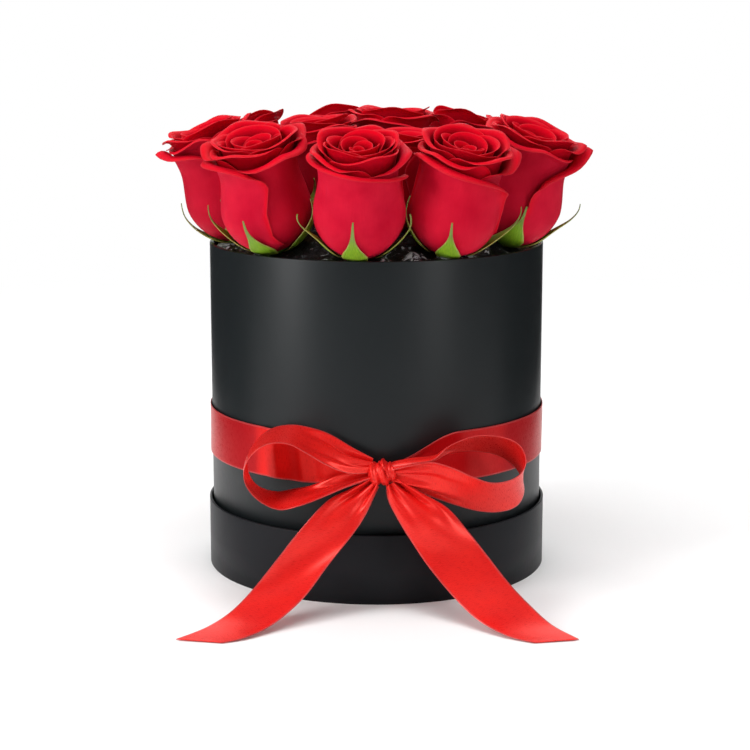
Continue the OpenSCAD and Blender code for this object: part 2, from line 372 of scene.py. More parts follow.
def film_look():
    """Black glossy film with a painted glint: a silver-grey colour in patches, most where the creases
    stand high and would catch the light. Tone red is how high a place stands in the crumples."""
    look = Look("black_film", Roughness=0.28, Specular_IOR_Level=0.25)
    place = look.position()
    folds = look.noise(place, 420, 5, 0.65, 1.2)
    patches = look.noise(place, 150, 5, 0.65, 2.0)
    lit = look.math("MULTIPLY_ADD", look.tone()["Red"], 0.22, patches)
    # Painted glint: silver-grey base colour on patches and high creases
    painted_glint = look.node("MapRange", {"Value": lit, "From Min": 0.715, "From Max": 0.76}
                       ).outputs["Result"]
    look.feed("Base Color", look.mix(look.math("MULTIPLY", painted_glint, 0.9), (0.0035, 0.0035, 0.004),
                                     (0.42, 0.44, 0.46)))
    look.relief(folds, 0.8, 1.2 * MM)
    return look.material


PAPER = paper_look("black_paper", (0.0096, 0.0122, 0.0134), 0.22)
LID_PAPER = paper_look("black_lid_paper", (0.0165, 0.0170, 0.0195), 0.07)
BOARD = board_look()
SATIN = satin_look("satin_ribbon", (0.89, 0.020, 0.014), (0.64, 0.007, 0.010), 0.95, 0.22)
# The band is a darker, less glossy copy of the bow's satin: its darker red is painted shade
SHADED_BAND_SATIN = satin_look("shaded_satin_band", (0.46, 0.005, 0.010), (0.38, 0.003, 0.008), 0.30, 0.0)
PETAL = petal_look()
SEPAL = sepal_look()
STEM = stem_look()
FOAM = foam_look()
LINER = liner_look()
FILM = film_look()


def repaint(node, material):
    """Gives a CAD node that stays on show its finished material."""
    for place in frame["nodes"][node].material_slots:
        place.material = material


# ---------------------------------------------------------------- box and lid

def turned(outline, count):
    """Grid of an outline of (radius, height) turned about +Z, with count points in each ring."""
    ring = np.linspace(0, TURN, count, endpoint=False)
    r, z = np.array(outline, float).T
    return np.stack([r[:, None] * np.cos(ring), r[:, None] * np.sin(ring),
                     np.repeat(z[:, None], count, 1)], -1)


def rounded_fold(outer, inner, bottom, top, flap):
    """Outline of a paper skin that goes up outside a wall, over its top edge in a small round fold
    and down inside by flap."""
    paper, edge = PAPER_THICKNESS, 0.45
    corner = np.linspace(0, math.pi / 2, 5)
    outside = [(outer, bottom), (outer, (bottom + top) / 2)]
    over = [(outer - edge + edge * math.cos(a), top - edge + edge * math.sin(a)) for a in corner]
    down = [(inner + edge - edge * math.sin(a), top - edge + edge * math.cos(a)) for a in corner]
    inside = [(inner, top - flap), (inner + paper, top - flap)]
    under = [(inner + paper, top - edge), (inner + edge, top - paper),
             (outer - edge, top - paper), (outer - paper, top - edge), (outer - paper, bottom)]
    return outside + over + down + inside + under


def wrap_piece(name, node, body, wall, flap, material):
    """The paper skin of the box or the lid, with its overlapping seam down the back. wall is how
    thick the papered wall is, and flap how far the paper goes down inside it."""
    low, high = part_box(node)
    outer, bottom, top = high.x / MM, low.z / MM, high.z / MM
    points = turned(rounded_fold(outer, outer - wall, bottom, top, flap), 512)
    azimuth = np.arctan2(points[..., 1], points[..., 0])
    past_seam = azimuth - math.pi / 2
    overlap = smooth(past_seam / 0.004) * (1 - smooth(past_seam / 0.35))
    radius = np.hypot(points[..., 0], points[..., 1])
    outside = radius > outer - 0.5
    sag = 0.05 * np.sin(5 * azimuth + 1.0) * np.sin(points[..., 2] * 0.07)
    grow = np.where(outside, (sag + 0.12 * overlap - 0.06) / radius, 0)
    points[..., :2] *= (1 + grow)[..., None]
    skin = Mesh()
    skin.grid(points, around=True, along=True)
    piece = skin.made(name, material)
    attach(piece, body)
    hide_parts(node)


def boards():
    """Box and lid: papered skins over the CAD's boards."""
    wrap_piece("box_paper", "box_wrap", "box", wall=2.1, flap=20, material=PAPER)
    wrap_piece("lid_paper", "lid_wrap", "lid", wall=1.45, flap=12, material=LID_PAPER)
    for node in ("box_wall", "lid_rim"):
        repaint(node, BOARD)
    for node in ("box_floor", "lid_panel"):
        repaint(node, PAPER)


# ---------------------------------------------------------------- ribbon

# Middle of the knot, and the paths of the edges of the bow's strips, in millimetres
KNOT = np.array([2.8, -97.6, 71.0])

LOOP_LEFT_FRONT = [[-2, -101, 73], [-14, -106, 74], [-25, -109, 78.5], [-35, -109.5, 84],
                   [-44, -107.5, 88], [-54, -106, 87.5], [-62, -105, 82], [-66, -105, 74],
                   [-65, -105, 66], [-59, -105, 58.5], [-49, -106, 54], [-38, -108, 56.5],
                   [-27, -107, 60], [-15, -104, 64], [-2, -101, 68]]
LOOP_LEFT_BACK = [[-2, -96, 77], [-12, -93.5, 82], [-24, -90.5, 89], [-34, -87.5, 92],
                  [-43, -83.5, 92.5], [-53, -80.5, 90], [-62, -79, 82.5], [-66, -79, 73],
                  [-65, -79, 65], [-60, -79, 59], [-51, -81, 57], [-42, -85, 59.5],
                  [-31, -89.5, 63], [-18, -93.5, 67.5], [-2, -96, 71]]
LOOP_RIGHT_FRONT = [[8, -101, 76], [18, -105, 78.5], [28, -107, 80.5], [36, -107, 87],
                    [47, -105, 91], [56, -103.5, 91.5], [65, -103.5, 90], [71.5, -104.5, 86.5],
                    [74.5, -106.5, 79.5], [72, -108.5, 73.5], [66, -110, 70], [57, -110.5, 69],
                    [48, -110.5, 72], [38, -110, 76.5], [28, -108, 79], [18, -105, 77],
                    [8, -102, 74]]
LOOP_RIGHT_BACK = [[8, -95.5, 73], [18, -93.5, 75], [29, -91, 76.5], [37, -87, 78], [46, -84, 79],
                   [54, -81.5, 78], [62, -81, 76], [69.5, -82.5, 71.5], [74, -85, 65],
                   [75, -88, 58], [71, -91.5, 52], [62, -93.5, 49.5], [51, -95, 50.5],
                   [40, -97, 54], [29, -98, 58], [18, -98, 62.5], [8, -97, 67]]
TAIL_LEFT_INNER = [[1, -101, 65], [-2, -103, 58], [-6, -105, 50], [-12, -108, 41.5],
                   [-24, -113.5, 27.5], [-36, -123, 13.5], [-50, -136, 4.5], [-63, -148, 1.6],
                   [-74, -153.5, 0.6]]
TAIL_LEFT_OUTER = [[-3, -99, 68], [-14, -101, 63], [-25, -103, 57.5], [-38, -107, 44],
                   [-52, -112, 27], [-62, -118, 15.8], [-72, -127, 7.5], [-83, -138, 3.2],
                   [-97, -149, 0.8]]
TAIL_RIGHT_INNER = [[5, -101, 65], [6, -103, 58], [11, -106, 48.5], [18, -109, 37.5],
                    [26.5, -114, 26], [39, -123, 13], [50, -134, 5.5], [63, -146, 1.8],
                    [76, -153.5, 0.6]]
TAIL_RIGHT_OUTER = [[11, -99.5, 68], [24, -102, 61], [36, -104, 54], [46, -107, 43],
                    [56, -111, 31], [66, -116, 19], [75.5, -124, 10.5], [86, -137, 4],
                    [98, -149, 0.8]]

# Shape of the gathers across a strip: for each set of waves, how many there are in its width, their
# height as a share and their phase
PLEATS = ((1.5, 0.55, 0.4), (2.5, 0.75, 1.9), (4.0, 0.25, 0.7))


def pleat(u, shift):
    """Height of the gathers, about -1 to 1, at u from 0 to 1 across a strip."""
    return sum(share * np.sin(TURN * waves * u + phase + shift) for waves, share, phase in PLEATS)


def strip(first, second, gathers, belly, shift, rows=150):
    """Points, flat coordinates and length of a strip between two edges. gathers(v) is the pleats'
    height and belly(v) how far the middle bulges, both in millimetres, for v from 0 to 1 along the
    strip."""
    a, b = curve_through(first, rows), curve_through(second, rows)
    v = np.linspace(0, 1, rows)
    u = np.linspace(0, 1, 49)
    base = a[:, None] * (1 - u)[None, :, None] + b[:, None] * u[None, :, None]
    along = np.gradient((a + b) / 2, axis=0)
    normal = unit(np.cross(along, b - a))
    rise = (gathers(v)[:, None] * pleat(u[None], shift + 0.6 * np.sin(5 * v)[:, None])
            + belly(v)[:, None] * 4 * u * (1 - u))
    points = base + normal[:, None] * rise[..., None]
    run = np.cumsum(np.linalg.norm(np.gradient((a + b) / 2, axis=0), axis=1))
    flat = np.stack(np.broadcast_arrays(RIBBON_WIDTH * (u - 0.5)[None], run[:, None]), -1)
    return points, flat, run[-1]


def ribbon_piece(name, node, points, flat):
    """A strip of the bow as a piece of ribbon, which replaces its CAD solid."""
    cloth = Mesh()
    cloth.grid(points, flat)
    piece = cloth.made(name, SATIN, RIBBON_THICKNESS)
    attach(piece, "box")
    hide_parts(node)


def both_ends(v, reach):
    """1 at both ends of a strip, 0 further than reach from them."""
    return 1 - smooth(np.minimum(v, 1 - v) / reach)


def loops():
    """The two loops, gathered where they enter the knot."""
    shapes = (("left", LOOP_LEFT_FRONT, LOOP_LEFT_BACK, 0.0),
              ("right", LOOP_RIGHT_FRONT, LOOP_RIGHT_BACK, 2.1))
    for side, first, second, shift in shapes:
        points, flat, length = strip(first, second, lambda v: 1.9 * both_ends(v, 0.27) ** 1.2,
                                     lambda v: 0.7 * np.sin(9 * v), shift)
        ribbon_piece(f"bow_ribbon_loop_{side}", f"bow_loop_{side}", points, flat)


def hanging(v):
    """1 along the free middle of a tail, 0 at the knot and where it lies on the floor."""
    return smooth(v / 0.3) * (1 - smooth((v - 0.5) / 0.35))


def tails():
    """The two tails, gathered at the knot and cut aslant at their ends."""
    shapes = (("left", TAIL_LEFT_INNER, TAIL_LEFT_OUTER, 1.0),
              ("right", TAIL_RIGHT_INNER, TAIL_RIGHT_OUTER, 4.0))
    for side, first, second, shift in shapes:
        points, flat, length = strip(first, second, lambda v: 2.2 * (1 - smooth(v / 0.40)) ** 1.2,
                                     lambda v: (1.5 + 1.9 * np.sin(13 * v + shift)) * hanging(v),
                                     shift, rows=120)
        ribbon_piece(f"bow_ribbon_tail_{side}", f"bow_tail_{side}", points, flat)


def knot():
    """The knot: a length of ribbon wound round the strands, in folds that run round it."""
    length, middle, once_round = 13.8, 5.9, 36
    phi = np.linspace(0, TURN, 96, endpoint=False)[:, None]
    u = np.linspace(-1, 1, 61)[None]
    folds = (0.75 * np.sin(7.5 * u + 1.7 * np.sin(phi + 0.5)) ** 3
             + 0.18 * np.sin(15 * u + 1.4 * np.cos(phi))
             - 0.9 * bump(u + 0.45 * np.sin(phi - 0.4), 0.12, 0.08))
    swelling = middle * np.sqrt(np.maximum(1 - 0.74 * np.abs(u) ** 3.0, 0))
    radius = swelling + 1.35 * folds * (1 - u ** 6)
    radius = radius * (1 + 0.06 * np.cos(2 * phi))
    points = np.stack(np.broadcast_arrays(KNOT[0] + length / 2 * u + 0 * phi,
                                          KNOT[1] - radius * np.cos(phi),
                                          KNOT[2] + radius * 1.08 * np.sin(phi)), -1)

    # Millimetres on the ribbon, whose selvedges are bunched up out of sight
    half_shown, mean_radius = 11.5, 5.5
    flat = np.stack(np.broadcast_arrays(half_shown * u + 0 * phi, mean_radius * phi + 0 * u), -1)
    wound = Mesh()
    wound.grid(np.transpose(points, (1, 0, 2)), np.transpose(flat, (1, 0, 2)), around=True)
    piece = wound.made("bow_wound_knot", SATIN, RIBBON_THICKNESS)
    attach(piece, "box")
    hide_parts("bow_knot")


def band():
    """The band round the box, drawn together into the knot at the front. It stands off the box in
    soft swells on both sides of the knot, mostly on the left."""
    knot_top, knot_bottom, swell_length = 74.6, 65.5, 13.6
    low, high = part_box("ribbon_band")
    bottom, top, radius = low.z / MM, high.z / MM, high.x / MM - 0.15
    angle = np.linspace(-math.pi, math.pi, 721)[:-1]
    x = radius * np.sin(angle) - KNOT[0]
    front = np.cos(angle) > 0

    # Its upper and lower edges run together towards the knot
    pull = np.where(front, 1 - smooth((np.abs(x) - 3) / 38), 0)
    near = np.where(front, 1 - smooth((np.abs(x) - 4) / 26), 0)
    upper = top - (top - knot_top) * pull ** 1.1
    lower = bottom + (knot_bottom - bottom) * near
    u = np.linspace(0, 1, 41)[:, None]
    z = lower + (upper - lower) * u

    # How far each place stands off the box: creases into the knot, and swells beside it
    crease = pull ** 1.3 * (0.55 + 0.45 * np.cos(TURN * 1.5 * (u - 0.42)))
    ripple = pull * 0.35 * pleat(u, 2.0 + 0 * x)
    wave = 0.10 * np.sin(3 * angle + 4 * u)
    # Beside the knot, mostly on the left, this zone swells off the box and also gets a painted
    # highlight through tone red
    swell_and_painted_light = np.where(front, smooth((67 - np.abs(x)) / 7), 0) * np.where(x < 0, 1.0, 0.25)
    swell = 0.55 * swell_and_painted_light * (1 + np.sin(TURN * x / swell_length + 1.1 + 1.4 * u)) * (1 - pull)
    out = radius + 0.37 + 1.5 * crease + np.maximum(ripple, -0.4) + wave + swell
    points = np.stack([out * np.sin(angle), -out * np.cos(angle), z + 0 * angle], -1)
    flat = np.stack(np.broadcast_arrays(RIBBON_WIDTH * (u - 0.5), radius * angle), -1)
    # Tone red carries the painted highlight
    tone = np.stack(np.broadcast_arrays(0.75 * swell_and_painted_light + 0 * u, 0, 0), -1)
    cloth = Mesh()
    cloth.grid(points, flat, tone, around=True)
    piece = cloth.made("ribbon_round_box", SHADED_BAND_SATIN, RIBBON_THICKNESS)
    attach(piece, "box")
    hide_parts("ribbon_band")


# ---------------------------------------------------------------- roses

# A bloom on its own axis, in millimetres: the height of its belly and its radius there, the height
# from which petals lean outwards, and the radii on which the outermost petal and the sepals lie
BELLY_HEIGHT = 24.0
BLOOM_RADIUS = 24.0
LEAN_HEIGHT = 38
OUTERMOST_RING = 23.6
SEPAL_RING = 23.4

# The angle from each petal to the next, how many there are, and the rank of the ones in the heart
GOLDEN = math.radians(137.5)
HEART_PETALS = 9
OUTER_PETALS = 8
HEART_RANK = 99


class Rose:
    """Where one rose stands: its base, its axis and the way it leans, read from the CAD."""

    def __init__(self, number):
        self.body = f"rose_{number:02d}"
        joint = next(j for j in frame["joints"] if j["child"] == self.body)
        self.axis = np.array(joint["axis"], float)
        lean = np.array([self.axis[0], self.axis[1], 0]) / math.hypot(*self.axis[:2])
        self.out = unit(lean - self.axis * (lean @ self.axis))
        self.side = np.cross(self.axis, self.out)
        vertices = frame["nodes"][self.body + "_bloom"].data.vertices
        bloom = np.array([v.co for v in vertices]) / MM
        local = bloom @ np.array([self.out, self.side, self.axis]).T
        low, high = local.min(0), local.max(0)
        self.girth = (high[0] - low[0]) / 2 / BLOOM_RADIUS
        middle = (low + high) / 2
        self.base = (middle[0] * self.out + middle[1] * self.side
                     + (low[2] - 1.2 * self.girth) * self.axis)
        self.lean_azimuth = math.atan2(lean[1], lean[0])
        self.random = np.random.default_rng(SEED * 100 + number)

    def place(self, points):
        """Points beside the rose's own axis, to the frame's, in millimetres."""
        p = points * self.girth
        return self.base + p[:, :1] * self.out + p[:, 1:2] * self.side + p[:, 2:] * self.axis


STANDING = [Rose(number) for number in range(1, 13)]


def midline(ring, opening):
    """Table of a petal's midline from its base: distance along it, radius and height."""
    z = np.linspace(0.4, 70, 700)
    cup = np.sqrt(np.maximum(1 - (1 - np.minimum(z, BELLY_HEIGHT) / BELLY_HEIGHT) ** 2, 0))
    waist = 1 - 0.15 * smooth((z - BELLY_HEIGHT + 3) / 22)
    r = ring * cup * waist + opening * np.maximum((z - LEAN_HEIGHT) / 16, 0) ** 2
    s = np.concatenate([[0], np.cumsum(np.hypot(np.diff(r), np.diff(z)))])
    return s, r, z


def rolled(distance, length, turn):
    """How far a strip that starts to curl reaches forward and outward at each distance past the
    start of its curl, when it turns by turn radians over length."""
    steps = 39
    t = np.linspace(0, 1, steps + 1)
    angle = turn[..., None] * t ** 1.3
    step = length[..., None] / steps
    forward = np.cumsum(np.cos(angle), -1) * step
    outward = np.cumsum(np.sin(angle), -1) * step
    share = np.clip(distance / np.maximum(length, 1e-6), 0, 1) * steps
    i = np.minimum(share.astype(int), steps - 1)
    f = share - i

    def at(table):
        a = np.take_along_axis(table, i[..., None], -1)[..., 0]
        b = np.take_along_axis(table, i[..., None] + 1, -1)[..., 0]
        return a + (b - a) * f

    return at(forward - forward[..., :1]), at(outward - outward[..., :1])


def petal(mesh, rose, rank, face, ring, *, fold, half_width, roll, curl, tilt, opening, tuck, deep,
          flat_top, waves, point=0.0, sway=0.0, sides=0.2, shaded=0.0, rows=26, columns=49):
    """Adds one petal to the bloom's mesh. rank counts from the outermost. It faces azimuth face,
    lies at radius ring, and begins to curl outwards at height fold, over the length roll and by
    curl degrees. point makes its tip pointed, tilt slopes its upper edge, opening leans it
    outwards above its belly, flat_top squares its top edge and waves ruffle it. sway shifts the
    curl to one side, sides is how much of the curl its side edges have, tuck how far they press
    inwards, deep how much painted shade darkens the petal away from its rim, and shaded how much
    painted shade darkens it towards its foot."""
    own = rose.random.random()
    noise = rose.random.uniform(0, TURN, 6)
    s_table, r_table, z_table = midline(ring, opening)
    reach = np.interp(fold, z_table, s_table) + roll

    # The petal's edge laid flat: psi runs round it from one side of the foot over the tip
    foot_angle = math.radians(108)
    psi = np.linspace(-1, 1, columns) * foot_angle
    middle = 0.50 * reach
    sine, cosine = np.sin(psi), np.cos(psi)
    edge_x = half_width * np.sign(sine) * np.abs(sine) ** 0.92
    edge_s = middle + (reach - middle) * np.sign(cosine) * np.abs(cosine) ** flat_top
    edge_s = edge_s + point * bump(psi, 0, 0.20) + tilt * edge_x / half_width
    edge_s = edge_s + waves * np.sin(3 * psi + noise[0]) * bump(psi, 0, 1.1)
    edge = np.stack([edge_x, edge_s], -1)
    along = np.gradient(edge, axis=0)
    normal = unit(np.stack([-along[:, 1], along[:, 0]], -1))

    # Width of the margin that curls, and how far it turns, for each place on the edge
    shoulder_start, shoulder_span = np.radians((58, 44) if rank == 0 else (22, 40))
    shoulder = 1 - (1 - sides) * smooth((np.abs(psi) - shoulder_start) / shoulder_span)
    uneven = 1 + 0.10 * np.sin(2 * psi + noise[1]) + 0.05 * np.sin(5 * psi + noise[2])
    side = 1 + sway * np.sin(psi)
    width = roll * shoulder * uneven * side + 0.6 * point * bump(psi, 0, 0.30)
    turn = np.radians(curl) * np.clip(shoulder * (0.8 + 0.2 * uneven) * side, 0, 1.15)
    turn = turn * (1 - 0.055 * point * bump(psi, 0, 0.26))

    # Places from the foot out to the edge, and how deep inside the edge each one lies
    t = np.linspace(0, 1, rows)[:, None]
    v = 0.04 + 0.96 * t ** 0.72
    p = v[..., None] * edge[None]
    depth = ((edge[None] - p) * normal[None]).sum(-1)
    past = np.maximum(width[None] - depth, 0)
    shape = np.broadcast_to(width, past.shape), np.broadcast_to(turn, past.shape)
    forward, lift = rolled(past, *shape)
    p = p + normal[None] * (forward - past)[..., None]
    x, s = p[..., 0], p[..., 1]
    lift = (lift - tuck * (x / half_width) ** 2 + waves * 0.7 * v ** 6 * np.sin(6 * psi + noise[3])
            + 0.22 * np.sin(0.16 * x + noise[4]) * np.sin(0.11 * s + noise[5]))

    # Wrapped onto the bloom's own shape
    r = np.interp(s, s_table, r_table)
    z = np.interp(s, s_table, z_table)
    slope = unit(np.stack([np.interp(s + 0.5, s_table, table) - np.interp(s - 0.5, s_table, table)
                           for table in (r_table, z_table)], -1))
    angle = face + x / np.maximum(r, 2.2)
    radius = r + lift * slope[..., 1]
    height = z - lift * slope[..., 0]
    points = np.stack([radius * np.cos(angle), radius * np.sin(angle), height], -1)

    rim = smooth(1 - depth / np.maximum(width, 3.5))
    # Painted shade: darker deep inside the rim and, by shaded, towards the foot
    shade = np.maximum(deep * smooth((depth - 1.0) / 9.0), shaded * smooth((55 - z) / 18))
    pure = 0.25 * own if rank < 2 else 0.75 + 0.25 * own
    tone = np.stack(np.broadcast_arrays(shade, rim, pure), -1)
    flat = v[..., None] * edge[None] + 40 * own
    mesh.grid(points, flat, tone)


def heart_petals(mesh, rose, start):
    """The tight whorl in the middle, from the innermost petal outwards."""
    for k in range(HEART_PETALS):
        share = k / (HEART_PETALS - 1)
        ring = 1.7 + 14.6 * share ** 1.15
        petal(mesh, rose, HEART_RANK, start + k * GOLDEN, ring,
              fold=54.0 + 4.0 * smooth(share * 1.1), half_width=ring * (2.5 - 0.95 * share),
              roll=1.2 + 2.6 * share, curl=12 + 44 * share,
              tilt=(0.6 + 1.2 * share) * (1 if k % 2 else -0.6),
              opening=0.2 + 1.2 * share, tuck=0.0, deep=0.95, flat_top=0.17 + 0.14 * share,
              waves=0.1 + 0.1 * share, rows=18, columns=41)


def outer_petals(mesh, rose, habit):
    """The large petals outside, whose lips roll further back from one to the next."""
    flare = habit["flare"]
    for j in range(OUTER_PETALS):
        share = j / (OUTER_PETALS - 1)
        jitter = rose.random.uniform(-1, 1, 3)
        rank = OUTER_PETALS - 1 - j
        face = math.radians(habit["faces"][1]) - (rank - 1) * GOLDEN
        tilt, point = 1.6 * jitter[1], 1.2 + 1.6 * share
        if rank < 2:
            face, tilt = math.radians(habit["faces"][rank]), habit["tilts"][rank]
        half_width = 27 + 5.0 * share
        if rank == 0:
            point, half_width = habit["tip"], habit["half_width"]
        petal(mesh, rose, rank, face, 17.4 + 6.2 * share, fold=58.0 - 8.5 * share ** 1.6,
              half_width=half_width, roll=(4.2 + 3.2 * share) * flare,
              curl=70 + 62 * share, point=point, tilt=tilt,
              opening=(1.2 + 1.2 * share) * flare, tuck=-0.3 if rank == 0 else 0.4,
              deep=0.90 * (1 - share) ** 0.6, flat_top=0.40, waves=0.15 + 0.15 * share,
              sway=0.12 * jitter[2], sides=0.2 if rank == 0 else 0.0, shaded=habit["shaded"])


def bloom(rose, habit):
    """All the petals of a rose as one piece."""
    mesh = Mesh()
    heart_petals(mesh, rose, rose.random.uniform(0, TURN))
    outer_petals(mesh, rose, habit)
    mesh.points = [p * (1, 1, habit["height"]) for p in mesh.points]
    piece = mesh.made(rose.body + "_petals", PETAL, PETAL_THICKNESS, rose.place)
    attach(piece, rose.body)
    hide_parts(rose.body + "_bloom")


# Half width of a sepal along its length, as a share of its widest
BLADE = ((0, 0.50), (0.20, 0.92), (0.34, 1.0), (0.45, 0.80), (0.57, 0.48), (0.68, 0.25),
         (0.78, 0.12), (0.90, 0.07), (1, 0.03))


def blade(mesh, azimuth, length, width, lift, curl, bend):
    """Adds one sepal: a pointed blade that hugs the bloom and then leaves it. lift is how soon it
    leaves, curl how far its tip turns outwards, and bend how far it swings sideways."""
    s = np.linspace(0, 1, 34)
    s_table, r_table, z_table = midline(SEPAL_RING, 1.0)
    foot, gap = 2.0, 1.0
    on = length * s
    leave = smooth((s - lift) / (1 - lift))
    r = np.interp(on + foot, s_table, r_table) + gap + leave ** 1.4 * curl * length
    z = np.interp(on + foot, s_table, z_table) - 0.5 - leave ** 1.6 * curl * length * 0.25
    angle = azimuth + bend * s ** 1.6
    half = width / 2 * np.interp(s, *zip(*BLADE)) + 0.12
    u = np.linspace(-1, 1, 9)[None]
    across = half[:, None] * u
    cup = 0.30 * half[:, None] * np.abs(u) ** 1.6 * leave[:, None]
    keel = 0.5 * (1 - np.abs(u)) * np.clip(half[:, None] / 4, 0, 1)
    radius = r[:, None] + keel + cup
    turn_angle = angle[:, None] + across / np.maximum(r[:, None], 5)
    points = np.stack([radius * np.cos(turn_angle), radius * np.sin(turn_angle),
                       z[:, None] + 0 * u], -1)
    border = 1 - np.clip((1 - np.abs(u)) * half[:, None] / 0.9, 0, 1)
    thread = smooth((s[:, None] - 0.58) / 0.25)
    tone = np.stack(np.broadcast_arrays(1 - smooth(s[:, None] / 0.35), border, thread), -1)
    flat = np.stack(np.broadcast_arrays(across, on[:, None]), -1)
    mesh.grid(points, flat, tone)


def calyx(rose, turn):
    """Five sepals and the hip under them. turn is the way one sepal faces, in degrees."""
    mesh = Mesh()
    for k in range(5):
        jitter = rose.random.uniform(-1, 1, 4)
        blade(mesh, math.radians(turn + 72 * k) + 0.10 * jitter[0], 38.5 + 3.5 * jitter[1],
              13.0 + 1.0 * jitter[2], 0.34 + 0.08 * jitter[3], 0.17 + 0.10 * jitter[0],
              bend=0.16 * jitter[1])
    hip = [(2.5, -6.4), (3.5, -6.0), (4.9, -4.2), (5.7, -1.8), (6.3, 0.2), (7.6, 1.3), (9.0, 2.0)]
    mesh.grid(turned(hip, 40), around=True)
    piece = mesh.made(rose.body + "_calyx", SEPAL, SEPAL_THICKNESS, rose.place)
    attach(piece, rose.body)
    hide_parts(rose.body + "_sepals")


# For each rose: the ways that its outermost petal and the next face, in degrees from the direction
# in which it leans; the slopes of their lips; how wide its lips spread; the half width of its
# outermost petal and how far that is drawn to a tip, in millimetres; its height as a share of the
# CAD's; how much painted shade darkens its foot; and the way one sepal faces, in degrees
HABIT_NAMES = ("faces", "tilts", "flare", "half_width", "tip", "height", "shaded", "sepal")
HABITS = [dict(zip(HABIT_NAMES, row)) for row in (
    ((-42, 62), (3, 5), 1.25, 31, 0, 1.01, 0, 18),
    ((-8, 75), (-6.5, 5), 0.85, 46, 0, 1.055, 0, -2),
    ((-32, 70), (-8, 5), 1.15, 33, 0, 1.04, 0, -24),
    ((34, -50), (10, -4), 1.13, 34, 5.6, 1.035, 0, 18),
    ((-60, 60), (0, 0), 1.1, 32, 2, 0.98, 0, 10),
    ((30, -90), (2, 0), 1.0, 32, 2, 0.94, 0.6, 0),
    ((0, 120), (-2, 2), 1.0, 32, 3, 0.94, 0.6, 0),
    ((20, -100), (0, 2), 1.1, 32, 3, 0.94, 0.5, 30),
    ((6, 75), (3, -2), 1.12, 30, 4.4, 1.06, 0.35, 0),
    ((180, 40), (1, 2), 1.0, 32, 2, 0.94, 0.8, 0),
    ((120, 250), (2, 0), 1.0, 32, 2, 0.95, 0.8, 0),
    ((200, 60), (0, 0), 1.0, 32, 0, 0.97, 0.95, 0))]


def roses():
    """The twelve roses."""
    for rose, habit in zip(STANDING, HABITS):
        bloom(rose, habit)
        calyx(rose, habit["sepal"])
        repaint(rose.body + "_stem", STEM)


# ---------------------------------------------------------------- insert

def room_under_blooms(x, y, lowest, highest):
    """How high the film may reach at each place without touching a bloom."""
    room = np.full(x.shape, float(highest))
    _, radii, heights = midline(OUTERMOST_RING, 1.0)
    step, gap = 0.75, 2.0
    for z in np.arange(highest, lowest, -step):
        for rose in STANDING:
            offset = np.stack([x, y, np.full(x.shape, z)], -1) - rose.base
            along = offset @ rose.axis
            beside = np.sqrt(np.maximum((offset ** 2).sum(-1) - along ** 2, 0))
            reach = np.interp(along / rose.girth, heights, radii) * rose.girth
            inside = (along > 0) & (beside < reach + gap)
            room = np.where(inside, z - step, room)
    return room


def film():
    """Crumpled black film that fills the space round the stems and up between the blooms."""
    low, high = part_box("film_filler")
    radius, top, bottom = high.x / MM - 0.4, high.z / MM, low.z / MM
    rng = np.random.default_rng(SEED)
    rings, spokes = 110, 320
    r = radius * np.linspace(0.02, 1, rings)[:, None]
    a = np.linspace(0, TURN, spokes, endpoint=False)[None]
    x, y = r * np.cos(a), r * np.sin(a)
    crumple, per_size = 0, 5
    for scale, size in ((0.10, 2.4), (0.21, 1.9), (0.43, 1.4), (0.85, 0.8)):
        for _ in range(per_size):
            direction, phase = rng.uniform(0, TURN, 2)
            wave = scale * (x * math.cos(direction) + y * math.sin(direction)) + phase
            crumple = crumple + size / per_size * (1 - 2 * np.abs((wave / math.pi) % 2 - 1))

    # Heaped up inside the rim, pressed down under the blooms, and most crumpled where it is free
    rim = smooth((radius - r) / 5)
    # The film is real, but heaped this high between the blooms its black also stands in for the shade
    # in the gaps there: painted shade
    heap = top + 1.5 + 13.0 * smooth((radius - r) / 26)
    room = room_under_blooms(x, y, top - 4, top + 22)
    z = np.minimum(heap, room) + crumple * (0.4 + 1.3 * rim * smooth((room - heap + 4) / 6))
    points = np.stack(np.broadcast_arrays(x, y, z), -1)

    # Its skirt goes down inside the liner
    skirt = np.stack(np.broadcast_arrays(radius * np.cos(a), radius * np.sin(a),
                                         np.linspace(top, bottom + 6, 8)[:, None]), -1)
    # Tone red, the crumple height, puts the painted glints on the high creases; the skirt gets none
    raised = np.clip(crumple / 3.2 + 0.5, 0, 1)
    raised = np.concatenate([raised, np.zeros((len(skirt), spokes))])
    tone = np.stack([raised, 0 * raised, 0 * raised], -1)
    crumpled = Mesh()
    crumpled.grid(np.concatenate([points, skirt]), tone=tone, around=True)
    piece = crumpled.made("crumpled_film", FILM, FILM_THICKNESS)
    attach(piece, "insert")
    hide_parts("film_filler")


def insert():
    """Liner, foam and film."""
    repaint("liner", LINER)
    repaint("foam_lower", FOAM)
    repaint("foam_upper", FOAM)
    film()


# ---------------------------------------------------------------- camera, floor and light

def camera():
    """The photograph's view: from the front, a little above. Sensor and lens are in millimetres."""
    data = bpy.data.cameras.new("camera")
    data.sensor_width, data.lens = 36, 93.5
    data.shift_x = -0.0019
    made = bpy.data.objects.new("camera", data)
    made.location = (0, -1.0492, 0.3065)
    made.rotation_euler = (math.radians(78.97), 0, 0)
    bpy.context.scene.collection.objects.link(made)
    bpy.context.scene.camera = made


